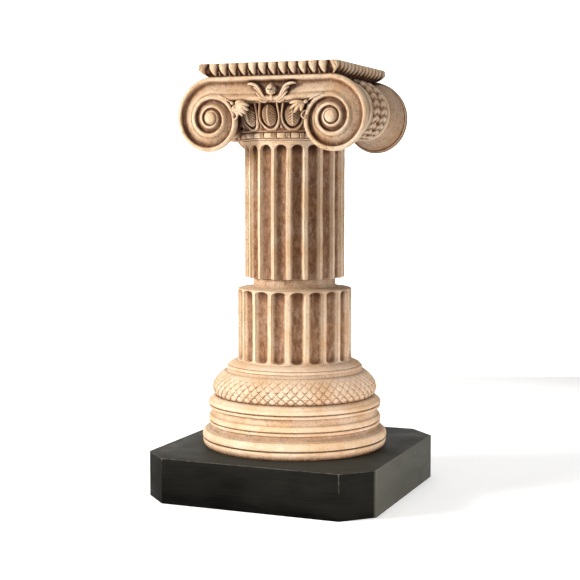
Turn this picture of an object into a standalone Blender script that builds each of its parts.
"""A desk model of a fluted Ionic column on a black stone plinth.

Metres, +Z up. The origin is on the floor, under the middle of the plinth.
The front is -Y. Four pieces stand on each other: plinth, foot, shaft and capital.
"""

from math import cos, hypot, pi, sin, sqrt

import bmesh
import bpy
from mathutils import Vector

# Fit between two pieces that stand on each other.
SEAT_GAP = 0.0003

# Plinth: a square stone block with its corners cut off.
PLINTH_SIDE = 0.320
PLINTH_HEIGHT = 0.060
PLINTH_CORNER_CUT = 0.037
PLINTH_EDGE_WEAR = 0.0012

# Foot: base mouldings, from the plinth up. Heights are of each moulding by itself.
MOULDING_SIDES = 36
TOE_INSET = 0.0030
LOWER_ROLL_RADIUS = 0.1250
LOWER_ROLL_HEIGHT = 0.0115
GREAT_ROLL_RADIUS = 0.1255
GREAT_ROLL_HEIGHT = 0.0135
LOWER_HOLLOW_RADIUS = 0.1140
LOWER_HOLLOW_HEIGHT = 0.0045
TWIN_FILLET_RADIUS = 0.1170
TWIN_FILLET_HEIGHT = 0.0120
UPPER_HOLLOW_RADIUS = 0.1125
UPPER_HOLLOW_HEIGHT = 0.0130
DISC_RADIUS = 0.1170
DISC_HEIGHT = 0.0150
DISC_FILLET_HEIGHT = 0.0030
DISC_SLOPE_RADIUS = 0.1145
GROOVE_DEPTH = 0.0010

# Where each moulding's profile has a ring, as shares of its height.
LOWER_ROLL_STATIONS = (0.2, 0.75, 1.0)
GREAT_ROLL_STATIONS = (0.25, 0.55, 0.85, 1.0)
LOWER_HOLLOW_STATIONS = (0.4, 1.0)
TWIN_FILLET_GROOVE_AT = 0.50
TWIN_FILLET_STATIONS = (0.42, TWIN_FILLET_GROOVE_AT, 0.60, 0.93)
UPPER_HOLLOW_STATIONS = (0.12, 0.4, 0.75, 1.0)
NECK_ROLL_STATIONS = (0.15, 0.95)

# Foot: the roll carved with scales, and the sweep up to the drum.
SCALES_AROUND = 30
SCALE_ROLL_RADIUS = 0.1110
SCALE_ROLL_FOOT_RADIUS = 0.1075
SCALE_ROLL_HEAD_RADIUS = 0.0965
SCALE_ROLL_HEIGHT = 0.0325
SCALE_ROWS = 7
SCALE_RELIEF = 0.0014
CARVED_FROM = 0.0010
NECK_ROLL_RADIUS = 0.0930
NECK_ROLL_HEIGHT = 0.0085
SWEEP_HEIGHT = 0.0065

# Flutes: the same count on both drums, with narrow ridges between them.
FLUTE_COUNT = 20
RIDGE_SHARE = 0.17
FLUTE_DEPTH = 0.0055
FLUTE_TURN_DEG = -5.0
FLUTE_END_SLOPE = 0.0020
FLUTE_STATIONS = (0.17, 0.5, 0.83)

# Foot: the lower drum and the plain collar on top of it.
LOWER_DRUM_RADIUS = 0.0781
LOWER_DRUM_HEIGHT = 0.0990
LOWER_FLUTE_END_GAP = 0.0010
LOWER_FLUTE_ARCH = 0.0050
SHOULDER_RADIUS = 0.0710
SHOULDER_HEIGHT = 0.0020
COLLAR_RADIUS = 0.0559
COLLAR_HEIGHT = 0.0115

# Shaft: the upper drum, cut square below and closed by arches above.
SHAFT_RADIUS = 0.0682
SHAFT_HEIGHT = 0.1835
SHAFT_EDGE_WEAR = 0.0014
SHAFT_FLUTE_ARCH = 0.0085
SHAFT_BAND_HEIGHT = 0.0028
SHAFT_FILLET_HEIGHT = 0.0024
SHAFT_FILLET_PROUD = 0.0018

# Capital: ring of beads and reels, then the ring of eggs.
RING_FILLET_RADIUS = 0.0712
RING_FILLET_HEIGHT = 0.0026
BEAD_COUNT = 24
BEAD_RADIUS = 0.0725
BEAD_HEIGHT = 0.0062
BEAD_GROOVE = 0.0022
BEAD_STATIONS = ((0.3, 1.0), (0.75, 1.0), (1.0, 0.0))
EGG_COUNT = 16
EGG_FOOT_RADIUS = 0.0725
EGG_RADIUS = 0.0820
EGG_PROUD = 0.0055
EGG_FOOT_GAP = 0.0055
EGG_HEIGHT = 0.0340
EGG_STATIONS = ((0.0, 0.25), (0.35, 0.9), (0.75, 1.0), (1.0, 0.5))
EGG_SWING = (0.9, -0.5, -0.2, -0.5)

# Capital: two scroll faces and the bolsters that join them.
EYE_SPACING = 0.168
EYE_RISE = 0.0294
EYE_RADIUS = 0.0080
FACE_DEPTH = 0.1770
SCROLL_START_RADIUS = 0.0530
SCROLL_SINK = 0.0030
SCROLL_TURNS = 3
STEPS_PER_TURN = 16
CHANNEL_DEPTH_SHARE = 0.21
CHANNEL_SECTION = ((0.16, 0.80), (0.52, 0.90))
RIM_WIDTH = 0.0035
RIM_DROP = 0.0014
WEDGE_STEPS = 2
CHANNEL_SAG = 0.0020
CHANNEL_STEPS = 4
BOLSTER_PIVOT_RISE = 0.0280
BOLSTER_WAIST = 0.78
BOLSTER_BAND = 0.825
BOLSTER_BAND_WIDTH = 0.0270
BOLSTER_FLARE = 0.94
RIM_THICKNESS = 0.0070
RIM_BACK_SLOPE = 0.0014
BAND_EDGE_GAP = 0.0040
BAND_EDGE = 0.81

# Capital: the carved square slab on top.
SLAB_SIDE = 0.1952
SLAB_HEIGHT = 0.0163
SLAB_FOOT_INSET = 0.0090
SLAB_HEAD_INSET = 0.0030
SLAB_BROADEST_SHARE = 0.62
SLAB_ROUNDING_SHARE = 0.88
SLAB_BITE = 0.0010
TONGUES_PER_SIDE = 12
TONGUE_PITCH = 0.0139
TONGUE_RELIEF = 0.0036

# Capital: the winged head on the front and the leaf sprays on both faces.
HEAD_RADIUS = 0.0074
HEAD_RISE = 0.0335
WING_SPAN = 0.0700
WING_WIDTH = 0.0074
WING_ROOT = 0.0045
WING_DROP = 0.0120
WING_RISE = 0.0190
SPRAY_LEAVES = 4
SPRAY_LEAF_LENGTH = 0.0260
SPRAY_LEAF_WIDTH = 0.0050
SPRAY_FAN_DEG = 78.0
SPRAY_LIFT_DEG = 8.0
LEAF_STATIONS = (0.0, 0.33, 0.7, 1.0)

# Heights that follow from the stack of pieces.
FOOT_BASE = PLINTH_HEIGHT + SEAT_GAP
MOULDING_TOP = (
    FOOT_BASE + LOWER_ROLL_HEIGHT + GREAT_ROLL_HEIGHT + LOWER_HOLLOW_HEIGHT + TWIN_FILLET_HEIGHT
    + UPPER_HOLLOW_HEIGHT + DISC_HEIGHT
)
SCALE_ROLL_TOP = MOULDING_TOP + SCALE_ROLL_HEIGHT
LOWER_DRUM_BASE = SCALE_ROLL_TOP + NECK_ROLL_HEIGHT + SWEEP_HEIGHT
LOWER_DRUM_TOP = LOWER_DRUM_BASE + LOWER_DRUM_HEIGHT
COLLAR_BASE = LOWER_DRUM_TOP + SHOULDER_HEIGHT
COLLAR_TOP = COLLAR_BASE + COLLAR_HEIGHT
SHAFT_BASE = COLLAR_TOP + SEAT_GAP
SHAFT_TOP = SHAFT_BASE + SHAFT_HEIGHT
CAPITAL_BASE = SHAFT_TOP + SEAT_GAP
EGG_BASE = CAPITAL_BASE + RING_FILLET_HEIGHT + BEAD_HEIGHT
EYE_Z = CAPITAL_BASE + EYE_RISE
EYE_X = EYE_SPACING / 2
FACE_Y = -FACE_DEPTH / 2
CHANNEL_TOP = EYE_Z - SCROLL_SINK + SCROLL_START_RADIUS
SLAB_BASE = CHANNEL_TOP + RIM_WIDTH
SLAB_TOP = SLAB_BASE + SLAB_HEIGHT


def clear_scene():
    for item in list(bpy.data.objects):
        bpy.data.objects.remove(item, do_unlink=True)


def stone(name, color, roughness):
    material = bpy.data.materials.new(name)
    material.use_nodes = True
    shader = material.node_tree.nodes["Principled BSDF"]
    shader.inputs["Base Color"].default_value = (*color, 1.0)
    shader.inputs["Roughness"].default_value = roughness
    shader.inputs["Metallic"].default_value = 0.0
    return material


def object_from(bm, name, material, smooth_below_deg=35.0):
    bmesh.ops.recalc_face_normals(bm, faces=bm.faces)
    mesh = bpy.data.meshes.new(name)
    bm.to_mesh(mesh)
    bm.free()
    mesh.materials.append(material)
    mesh.shade_smooth()
    mesh.set_sharp_from_angle(angle=smooth_below_deg * pi / 180)
    item = bpy.data.objects.new(name, mesh)
    bpy.context.scene.collection.objects.link(item)
    return item


# Turned work: a ring is a list of (angle, radius, height), knitted to the ring above it.


def plain_ring(radius, height, sides=MOULDING_SIDES):
    return [(2 * pi * step / sides, radius, height) for step in range(sides)]


def knit(bm, low, high):
    """Skin two rings. Equal ones get quads, split along the hollow where they are carved in and out.

    Rings of unlike counts get triangles, taking the nearer next angle each time.
    """
    low_verts, low_angles = low
    high_verts, high_angles = high
    low_count = len(low_verts)
    high_count = len(high_verts)
    if low_count == high_count:
        for step in range(low_count):
            after = (step + 1) % low_count
            corners = [low_verts[step], low_verts[after], high_verts[after], high_verts[step]]
            reach = [hypot(corner.co.x, corner.co.y) for corner in corners]
            crossing = reach[0] + reach[2] - reach[1] - reach[3]
            if abs(crossing) < CARVED_FROM:
                bm.faces.new(corners)
                continue
            if crossing > 0:
                corners = corners[1:] + corners[:1]
            bm.faces.new(corners[:3])
            bm.faces.new(corners[2:] + corners[:1])
        return
    low_step = 0
    high_step = 0
    while low_step < low_count or high_step < high_count:
        next_low = low_angles[(low_step + 1) % low_count] + 2 * pi * ((low_step + 1) // low_count)
        next_high = high_angles[(high_step + 1) % high_count] + 2 * pi * ((high_step + 1) // high_count)
        here_low = low_verts[low_step % low_count]
        here_high = high_verts[high_step % high_count]
        if high_step >= high_count or (low_step < low_count and next_low <= next_high):
            low_step += 1
            bm.faces.new((here_low, low_verts[low_step % low_count], here_high))
        else:
            high_step += 1
            bm.faces.new((here_low, high_verts[high_step % high_count], here_high))


def turned(rings):
    """A closed solid from rings, listed from the bottom up."""
    bm = bmesh.new()
    made = []
    for ring in rings:
        verts = [bm.verts.new((r * sin(a), -r * cos(a), z)) for a, r, z in ring]
        made.append((verts, [a for a, r, z in ring]))
    bm.faces.new(list(reversed(made[0][0])))
    for low, high in zip(made, made[1:]):
        knit(bm, low, high)
    bm.faces.new(made[-1][0])
    return bm


def swell(foot, middle, head, base, height, stations):
    """Moulding profile that bulges or hollows to middle between foot and head radii."""
    points = []
    for share in stations:
        chord = foot + (head - foot) * share
        bulge = middle - (foot + head) / 2
        points.append((chord + bulge * sin(pi * share), base + height * share))
    return points


def fluted_ring(radius, height, depth, arch, upward):
    """A ring of flutes. The hollows end in arches that rise or fall from the height."""
    pitch = 2 * pi / FLUTE_COUNT
    ring = []
    for flute in range(FLUTE_COUNT):
        ridge = flute * pitch + FLUTE_TURN_DEG * pi / 180
        half_ridge = pitch * RIDGE_SHARE / 2
        ring.append((ridge - half_ridge, radius, height - upward * arch))
        ring.append((ridge + half_ridge, radius, height - upward * arch))
        hollow = pitch * (1 - RIDGE_SHARE)
        for station in FLUTE_STATIONS:
            round_share = sqrt(1 - (2 * station - 1) ** 2)
            angle = ridge + half_ridge + hollow * station
            rise = upward * arch * (round_share - 1)
            ring.append((angle, radius - depth * round_share, height + rise))
    return ring


# Plinth


def make_plinth(material):
    half = PLINTH_SIDE / 2
    cut = half - PLINTH_CORNER_CUT
    plan = []
    for x_sign, y_sign in ((1, -1), (1, 1), (-1, 1), (-1, -1)):
        corner = [(x_sign * cut, y_sign * half), (x_sign * half, y_sign * cut)]
        plan += corner if x_sign * y_sign < 0 else reversed(corner)
    bm = bmesh.new()
    bottom = bm.faces.new([bm.verts.new((x, y, 0.0)) for x, y in plan])
    raised = bmesh.ops.extrude_face_region(bm, geom=[bottom])["geom"]
    lifted = [item for item in raised if isinstance(item, bmesh.types.BMVert)]
    bmesh.ops.translate(bm, verts=lifted, vec=(0, 0, PLINTH_HEIGHT))
    bmesh.ops.recalc_face_normals(bm, faces=bm.faces)
    above_floor = [e for e in bm.edges if max(v.co.z for v in e.verts) > 0]
    bmesh.ops.bevel(
        bm, geom=above_floor, offset=PLINTH_EDGE_WEAR, segments=1, affect="EDGES", clamp_overlap=True
    )
    return object_from(bm, "plinth", material, smooth_below_deg=20.0)


# Foot


def base_mouldings():
    """Rings of the plain mouldings, from the plinth up to the disc under the scales."""
    points = [(LOWER_ROLL_RADIUS - TOE_INSET, FOOT_BASE)]
    base = FOOT_BASE
    groove = LOWER_ROLL_RADIUS - GROOVE_DEPTH
    points += swell(points[0][0], LOWER_ROLL_RADIUS, groove, base, LOWER_ROLL_HEIGHT, LOWER_ROLL_STATIONS)
    base += LOWER_ROLL_HEIGHT
    shoulder = TWIN_FILLET_RADIUS
    points += swell(groove, GREAT_ROLL_RADIUS, shoulder, base, GREAT_ROLL_HEIGHT, GREAT_ROLL_STATIONS)
    base += GREAT_ROLL_HEIGHT
    points += swell(shoulder, LOWER_HOLLOW_RADIUS, shoulder, base, LOWER_HOLLOW_HEIGHT, LOWER_HOLLOW_STATIONS)
    base += LOWER_HOLLOW_HEIGHT
    groove = TWIN_FILLET_RADIUS - GROOVE_DEPTH
    for share in TWIN_FILLET_STATIONS:
        radius = groove if share == TWIN_FILLET_GROOVE_AT else TWIN_FILLET_RADIUS
        points.append((radius, base + TWIN_FILLET_HEIGHT * share))
    base += TWIN_FILLET_HEIGHT
    shoulder = TWIN_FILLET_RADIUS
    points += swell(shoulder, UPPER_HOLLOW_RADIUS, shoulder, base, UPPER_HOLLOW_HEIGHT, UPPER_HOLLOW_STATIONS)
    base += UPPER_HOLLOW_HEIGHT
    points.append((DISC_RADIUS, base + DISC_FILLET_HEIGHT))
    points.append((DISC_RADIUS - GROOVE_DEPTH, base + DISC_FILLET_HEIGHT + GROOVE_DEPTH))
    base += DISC_FILLET_HEIGHT + GROOVE_DEPTH * 2
    points.append((DISC_RADIUS, base))
    slope_height = DISC_HEIGHT - DISC_FILLET_HEIGHT - GROOVE_DEPTH * 2
    points += swell(DISC_RADIUS, DISC_SLOPE_RADIUS, SCALE_ROLL_FOOT_RADIUS, base, slope_height, (0.5, 1.0))
    return [plain_ring(radius, height) for radius, height in points]


def scale_rings():
    """Rings of the carved roll: neighbours stand in and out in turn, as pointed scales."""
    sides = SCALES_AROUND * 2
    rings = []
    rows = SCALE_ROWS + 1
    for row in range(rows):
        share = (row + 0.5) / rows
        radius, height = swell(SCALE_ROLL_FOOT_RADIUS, SCALE_ROLL_RADIUS, SCALE_ROLL_HEAD_RADIUS,
                               MOULDING_TOP, SCALE_ROLL_HEIGHT, (share,))[0]
        ring = []
        for angle, plain, level in plain_ring(radius, height, sides):
            side = round(angle * sides / (2 * pi))
            relief = SCALE_RELIEF / 2 if (side + row) % 2 else -SCALE_RELIEF / 2
            ring.append((angle, plain + relief, level))
        rings.append(ring)
    return rings


def make_foot(material):
    rings = base_mouldings()
    rings += scale_rings()
    rings.append(plain_ring(SCALE_ROLL_HEAD_RADIUS, SCALE_ROLL_TOP))
    for share in NECK_ROLL_STATIONS:
        leaning_radius = NECK_ROLL_RADIUS - GROOVE_DEPTH * 2 * share
        rings.append(plain_ring(leaning_radius, SCALE_ROLL_TOP + NECK_ROLL_HEIGHT * share))
    sweep_foot = NECK_ROLL_RADIUS - GROOVE_DEPTH * 4
    rings.append(plain_ring(sweep_foot, SCALE_ROLL_TOP + NECK_ROLL_HEIGHT))
    sweep_middle = (sweep_foot + LOWER_DRUM_RADIUS * 3) / 4
    rings.append(plain_ring(sweep_middle, LOWER_DRUM_BASE - SWEEP_HEIGHT / 2))
    flute_foot = LOWER_DRUM_BASE + LOWER_FLUTE_END_GAP
    flute_head = LOWER_DRUM_TOP - LOWER_FLUTE_END_GAP
    for height, depth, upward in (
        (flute_foot, 0.0, -1),
        (flute_foot + FLUTE_END_SLOPE, FLUTE_DEPTH, -1),
        (flute_head - FLUTE_END_SLOPE, FLUTE_DEPTH, 1),
        (flute_head, 0.0, 1),
    ):
        rings.append(fluted_ring(LOWER_DRUM_RADIUS, height, depth, LOWER_FLUTE_ARCH, upward))
    rings.append(plain_ring(SHOULDER_RADIUS, LOWER_DRUM_TOP))
    rings.append(plain_ring(COLLAR_RADIUS, COLLAR_BASE))
    rings.append(plain_ring(COLLAR_RADIUS, COLLAR_TOP))
    return object_from(turned(rings), "foot", material)


# Shaft


def make_shaft(material):
    worn_radius = SHAFT_RADIUS - SHAFT_EDGE_WEAR
    band_top = SHAFT_TOP - SHAFT_FILLET_HEIGHT
    flute_head = band_top - SHAFT_BAND_HEIGHT
    fillet_radius = SHAFT_RADIUS + SHAFT_FILLET_PROUD
    rings = [
        fluted_ring(worn_radius, SHAFT_BASE, FLUTE_DEPTH, 0.0, 1),
        fluted_ring(SHAFT_RADIUS, SHAFT_BASE + SHAFT_EDGE_WEAR, FLUTE_DEPTH, 0.0, 1),
        fluted_ring(SHAFT_RADIUS, flute_head - FLUTE_END_SLOPE, FLUTE_DEPTH, SHAFT_FLUTE_ARCH, 1),
        fluted_ring(SHAFT_RADIUS, flute_head, 0.0, SHAFT_FLUTE_ARCH, 1),
        plain_ring(SHAFT_RADIUS, band_top),
        plain_ring(fillet_radius, band_top + SHAFT_FILLET_HEIGHT / 6),
        plain_ring(fillet_radius, SHAFT_TOP),
    ]
    return object_from(turned(rings), "shaft", material)


# Capital


def bead_and_egg_rings():
    """The turned core of the capital, with beads and eggs standing out of it."""
    bead_sides = BEAD_COUNT * 2
    rings = [
        plain_ring(RING_FILLET_RADIUS, CAPITAL_BASE, bead_sides),
        plain_ring(RING_FILLET_RADIUS, CAPITAL_BASE + RING_FILLET_HEIGHT, bead_sides),
    ]
    for share, proud in BEAD_STATIONS:
        height = CAPITAL_BASE + RING_FILLET_HEIGHT + BEAD_HEIGHT * share
        ring = []
        for side, (angle, radius, level) in enumerate(plain_ring(BEAD_RADIUS, height, bead_sides)):
            reel = side % 2
            cut = BEAD_GROOVE * (1 - proud * (1 - reel / 2))
            ring.append((angle, radius - cut, level))
        rings.append(ring)
    egg_sides = EGG_COUNT * len(EGG_SWING)
    egg_foot = EGG_BASE + EGG_FOOT_GAP
    rings.append(plain_ring(EGG_FOOT_RADIUS - BEAD_GROOVE, egg_foot - EGG_FOOT_GAP / 2, egg_sides))
    for share, fullness in EGG_STATIONS:
        radius = EGG_FOOT_RADIUS + (EGG_RADIUS - EGG_FOOT_RADIUS) * sin(pi / 2 * share)
        ring = []
        smooth = plain_ring(radius, egg_foot + EGG_HEIGHT * share, egg_sides)
        for side, (angle, plain, level) in enumerate(smooth):
            proud = EGG_PROUD * fullness * EGG_SWING[side % len(EGG_SWING)]
            ring.append((angle, plain + proud, level))
        rings.append(ring)
    rings.append(plain_ring(EGG_FOOT_RADIUS, EYE_Z + BOLSTER_PIVOT_RISE + RIM_WIDTH, egg_sides))
    return rings


def scroll_point(step):
    """Crest of the scroll, by steps of a turn from the top outwards, as (x, z) beside the eye."""
    turns = step / STEPS_PER_TURN
    radius = SCROLL_START_RADIUS * (EYE_RADIUS / SCROLL_START_RADIUS) ** (turns / SCROLL_TURNS)
    angle = 2 * pi * turns
    sink = SCROLL_SINK * (1 - turns / SCROLL_TURNS)
    return (EYE_X + radius * sin(angle), EYE_Z - sink + radius * cos(angle))


def crest_lines():
    """Crest of scroll and channel on the right half, as lists of (x, z)."""
    scroll = [scroll_point(step) for step in range(SCROLL_TURNS * STEPS_PER_TURN + 1)]
    eye = scroll[-1]
    circle = []
    for step in range(STEPS_PER_TURN):
        angle = 2 * pi * step / STEPS_PER_TURN
        circle.append((EYE_X + EYE_RADIUS * sin(angle), eye[1] - EYE_RADIUS + EYE_RADIUS * cos(angle)))
    join = scroll[STEPS_PER_TURN]
    wedge_xs = [scroll[STEPS_PER_TURN - step][0] for step in range(1, WEDGE_STEPS + 1)]
    straight = wedge_xs[-1]
    xs = [EYE_X] + wedge_xs
    xs += [straight * (1 - step / CHANNEL_STEPS) for step in range(1, CHANNEL_STEPS + 1)]
    lower = [(x, join[1] - CHANNEL_SAG * (1 - (x / EYE_X) ** 2)) for x in xs]
    upper = [(x, scroll[0][1]) for x in xs]
    return scroll, circle, lower, upper


def channel_bottom(outer, inner):
    """Points across the hollow from the outer crest to the inner one, as (x, z, depth)."""
    width = hypot(outer[0] - inner[0], outer[1] - inner[1])
    points = []
    for across, deep in CHANNEL_SECTION:
        x = outer[0] + (inner[0] - outer[0]) * across
        z = outer[1] + (inner[1] - outer[1]) * across
        points.append((x, z, width * CHANNEL_DEPTH_SHARE * deep))
    return points


def rim_edge(points):
    """The crest loop moved out by the rim's width, square to its own direction."""
    edge = []
    for place, (x, z) in enumerate(points):
        before = points[max(place - 1, 0)]
        after = points[min(place + 1, len(points) - 1)]
        along = Vector((after[0] - before[0], after[1] - before[1])).normalized()
        edge.append((x + along.y * RIM_WIDTH, z - along.x * RIM_WIDTH))
    edge[0] = (0.0, edge[0][1])
    edge[-1] = (0.0, edge[-1][1])
    return edge


def bolster_sections():
    """Depth from the front face to the middle, with the scroll's size there."""
    middle = -FACE_Y
    band = BOLSTER_BAND_WIDTH
    waist_from = middle - band - BAND_EDGE_GAP
    flare_from = RIM_THICKNESS + RIM_BACK_SLOPE
    sections = [(RIM_DROP, 1.0), (RIM_THICKNESS, 1.0), (flare_from, BOLSTER_FLARE)]
    for share in (0.5, 1.0):
        depth = flare_from + (waist_from - flare_from) * share
        size = BOLSTER_FLARE + (BOLSTER_WAIST - BOLSTER_FLARE) * sin(pi / 2 * share)
        sections.append((depth, size))
    sections.append((middle - band, BAND_EDGE))
    sections.append((middle - band / 2, BOLSTER_BAND))
    sections.append((middle, BOLSTER_WAIST))
    return sections


def scroll_quarter():
    """A quarter of the scroll block: right half of the front face, back to the middle."""
    bm = bmesh.new()
    scroll, circle, lower, upper = crest_lines()

    def crest(point):
        return bm.verts.new((point[0], FACE_Y, point[1]))

    scroll_verts = [crest(point) for point in scroll]
    circle_verts = [scroll_verts[-1]] + [crest(point) for point in circle[1:]]
    lower_verts = [scroll_verts[STEPS_PER_TURN]] + [crest(point) for point in lower[1:]]
    upper_verts = [scroll_verts[0]] + [crest(point) for point in upper[1:]]

    def strip(outers, inners, outer_points, inner_points):
        rows = []
        for outer, inner, outer_point, inner_point in zip(outers, inners, outer_points, inner_points):
            if outer is inner:
                rows.append([outer])
                continue
            middle = [
                bm.verts.new((x, FACE_Y + deep, z)) for x, z, deep in channel_bottom(outer_point, inner_point)
            ]
            rows.append([outer] + middle + [inner])
        return rows

    def skin(rows):
        for first, second in zip(rows, rows[1:]):
            if len(second) == 1:
                for place in range(len(first) - 1):
                    bm.faces.new((first[place], first[place + 1], second[0]))
                continue
            for place in range(len(first) - 1):
                bm.faces.new((first[place], first[place + 1], second[place + 1], second[place]))

    turn = STEPS_PER_TURN
    outer_steps = range(SCROLL_TURNS * turn + 1)
    inner_verts = []
    inner_points = []
    for step in outer_steps:
        if step + turn <= SCROLL_TURNS * turn:
            inner_verts.append(scroll_verts[step + turn])
            inner_points.append(scroll[step + turn])
        else:
            inner_verts.append(circle_verts[step % turn])
            inner_points.append(circle[step % turn])
    rows = strip(scroll_verts, inner_verts, scroll, inner_points)
    skin(rows)
    channel = [rows[0]] + strip(upper_verts[1:], lower_verts[1:], upper[1:], lower[1:])
    skin(channel)
    bm.faces.new(circle_verts)

    wedge_high = lower_verts[: WEDGE_STEPS + 1]
    wedge_low = [scroll_verts[turn - step] for step in range(WEDGE_STEPS + 1)]
    bm.faces.new((wedge_high[0], wedge_high[1], wedge_low[1]))
    for step in range(1, WEDGE_STEPS):
        bm.faces.new((wedge_high[step], wedge_high[step + 1], wedge_low[step + 1], wedge_low[step]))

    # The crest loop runs from the middle of the channel's lower edge, round the scroll, to its upper edge.
    below = list(reversed(lower[WEDGE_STEPS:]))
    around = [scroll[step] for step in range(turn - WEDGE_STEPS, -1, -1)]
    loop_points = below + around + upper[1:]
    loop_verts = list(reversed(lower_verts[WEDGE_STEPS:]))
    loop_verts += [scroll_verts[step] for step in range(turn - WEDGE_STEPS, -1, -1)]
    loop_verts += upper_verts[1:]
    edge_points = rim_edge(loop_points)
    first_scroll = len(below)
    last_scroll = first_scroll + len(around) - 1
    before = loop_verts
    pivot = (EYE_X, EYE_Z + BOLSTER_PIVOT_RISE)
    for depth, size in bolster_sections():
        section = []
        for place, (x, z) in enumerate(edge_points):
            if first_scroll <= place <= last_scroll:
                x = pivot[0] + (x - pivot[0]) * size
                z = pivot[1] + (z - pivot[1]) * size
            if place > last_scroll:
                z = SLAB_BASE + SLAB_BITE
            section.append(bm.verts.new((x, FACE_Y + depth, z)))
        for place in range(len(section) - 1):
            bm.faces.new((before[place], before[place + 1], section[place + 1], section[place]))
        before = section
    return bm


def make_scroll_block(material):
    block = object_from(scroll_quarter(), "scroll_block", material)
    mirror = block.modifiers.new("two_faces_two_scrolls", "MIRROR")
    mirror.use_axis = (True, True, False)
    mirror.merge_threshold = 0.00005
    return block


def slab_ring(half, relief, height):
    """Square ring with tongues: darts stand in by the relief, corners and tongues don't."""
    first = -TONGUE_PITCH * TONGUES_PER_SIDE / 2
    side = [(-half, -half)]
    for tongue in range(TONGUES_PER_SIDE):
        start = first + TONGUE_PITCH * tongue
        side.append((start, relief - half))
        side.append((start + TONGUE_PITCH / 2, -half))
    side.append((-first, relief - half))
    ring = []
    for quarter in range(4):
        turn_cos = (1, 0, -1, 0)[quarter]
        turn_sin = (0, 1, 0, -1)[quarter]
        for x, y in side:
            ring.append((x * turn_cos - y * turn_sin, x * turn_sin + y * turn_cos, height))
    return ring


def make_slab(material):
    half = SLAB_SIDE / 2
    rows = (
        (half - SLAB_FOOT_INSET, 0.0, 0.0),
        (half, TONGUE_RELIEF, SLAB_BROADEST_SHARE),
        (half - SLAB_HEAD_INSET / 3, TONGUE_RELIEF, SLAB_ROUNDING_SHARE),
        (half - SLAB_HEAD_INSET, TONGUE_RELIEF / 4, 1.0),
    )
    bm = bmesh.new()
    rings = []
    for size, relief, share in rows:
        points = slab_ring(size, relief, SLAB_BASE + SLAB_HEIGHT * share)
        rings.append([bm.verts.new(point) for point in points])
    bm.faces.new(list(reversed(rings[0])))
    for low, high in zip(rings, rings[1:]):
        for place in range(len(low)):
            after = (place + 1) % len(low)
            bm.faces.new((low[place], low[after], high[after], high[place]))
    bm.faces.new(rings[-1])
    return object_from(bm, "slab", material)


def add_leaf(bm, points, width, thickness):
    """A four-sided leaf along points on the face, pointed at both ends."""
    ends = [bm.verts.new(points[0]), bm.verts.new(points[-1])]
    rings = []
    for place in range(1, len(points) - 1):
        along = Vector(points[place + 1]) - Vector(points[place - 1])
        across = Vector((along.z, 0.0, -along.x)).normalized() * width / 2
        proud = Vector((0.0, thickness / 2, 0.0))
        here = Vector(points[place])
        rings.append([bm.verts.new(here + step) for step in (across, proud, -across, -proud)])
    for side in range(4):
        after = (side + 1) % 4
        bm.faces.new((ends[0], rings[0][side], rings[0][after]))
        bm.faces.new((ends[1], rings[-1][after], rings[-1][side]))
        for low, high in zip(rings, rings[1:]):
            bm.faces.new((low[side], high[side], high[after], low[after]))


def make_winged_head(material):
    """A small head between two wings that rise and curl outward, on the front channel."""
    bm = bmesh.new()
    proud_y = FACE_Y + HEAD_RADIUS / 4
    head_z = EYE_Z + HEAD_RISE
    made = bmesh.ops.create_icosphere(bm, subdivisions=1, radius=HEAD_RADIUS)
    bmesh.ops.translate(bm, verts=made["verts"], vec=(0.0, proud_y, head_z))
    for side in (-1, 1):
        points = []
        for share in LEAF_STATIONS:
            x = WING_ROOT + (WING_SPAN / 2 - WING_ROOT) * share
            z = head_z - WING_DROP + WING_RISE * sin(pi / 2 * share)
            points.append((side * x, proud_y + HEAD_RADIUS / 4, z))
        add_leaf(bm, points, WING_WIDTH, WING_WIDTH)
    return object_from(bm, "winged_head", material)


def make_leaf_spray(material):
    """Leaves that fan out of each scroll's inner side, over the outer eggs."""
    bm = bmesh.new()
    root_x, root_z = scroll_point(STEPS_PER_TURN - WEDGE_STEPS)
    for leaf in range(SPRAY_LEAVES):
        share = leaf / (SPRAY_LEAVES - 1)
        angle = (SPRAY_FAN_DEG * share - SPRAY_LIFT_DEG) * pi / 180
        length = SPRAY_LEAF_LENGTH * (1 - share / 4)
        points = []
        for along in LEAF_STATIONS:
            x = root_x + RIM_WIDTH - cos(angle) * length * along
            z = root_z + RIM_WIDTH - sin(angle) * length * along
            points.append((x, FACE_Y + RIM_DROP * 1.5, z))
        add_leaf(bm, points, SPRAY_LEAF_WIDTH, SPRAY_LEAF_WIDTH)
    spray = object_from(bm, "leaf_spray", material)
    mirror = spray.modifiers.new("both_sides_both_faces", "MIRROR")
    mirror.use_axis = (True, True, False)
    mirror.merge_threshold = 0.00001
    return spray


def make_capital(material):
    capital = object_from(turned(bead_and_egg_rings()), "capital", material)
    parts = [make_scroll_block(material), make_slab(material), make_winged_head(material),
             make_leaf_spray(material)]
    for part in parts:
        part.hide_render = True
        part.display_type = "WIRE"
        union = capital.modifiers.new("join_" + part.name, "BOOLEAN")
        union.operation = "UNION"
        union.solver = "EXACT"
        union.use_self = part.name in ("winged_head", "leaf_spray")
        union.object = part
    return capital


clear_scene()
black_stone = stone("black_stone", (0.022, 0.021, 0.019), 0.45)
cast_terracotta = stone("cast_terracotta", (0.62, 0.43, 0.27), 0.75)
make_plinth(black_stone)
make_foot(cast_terracotta)
make_shaft(cast_terracotta)
make_capital(cast_terracotta)
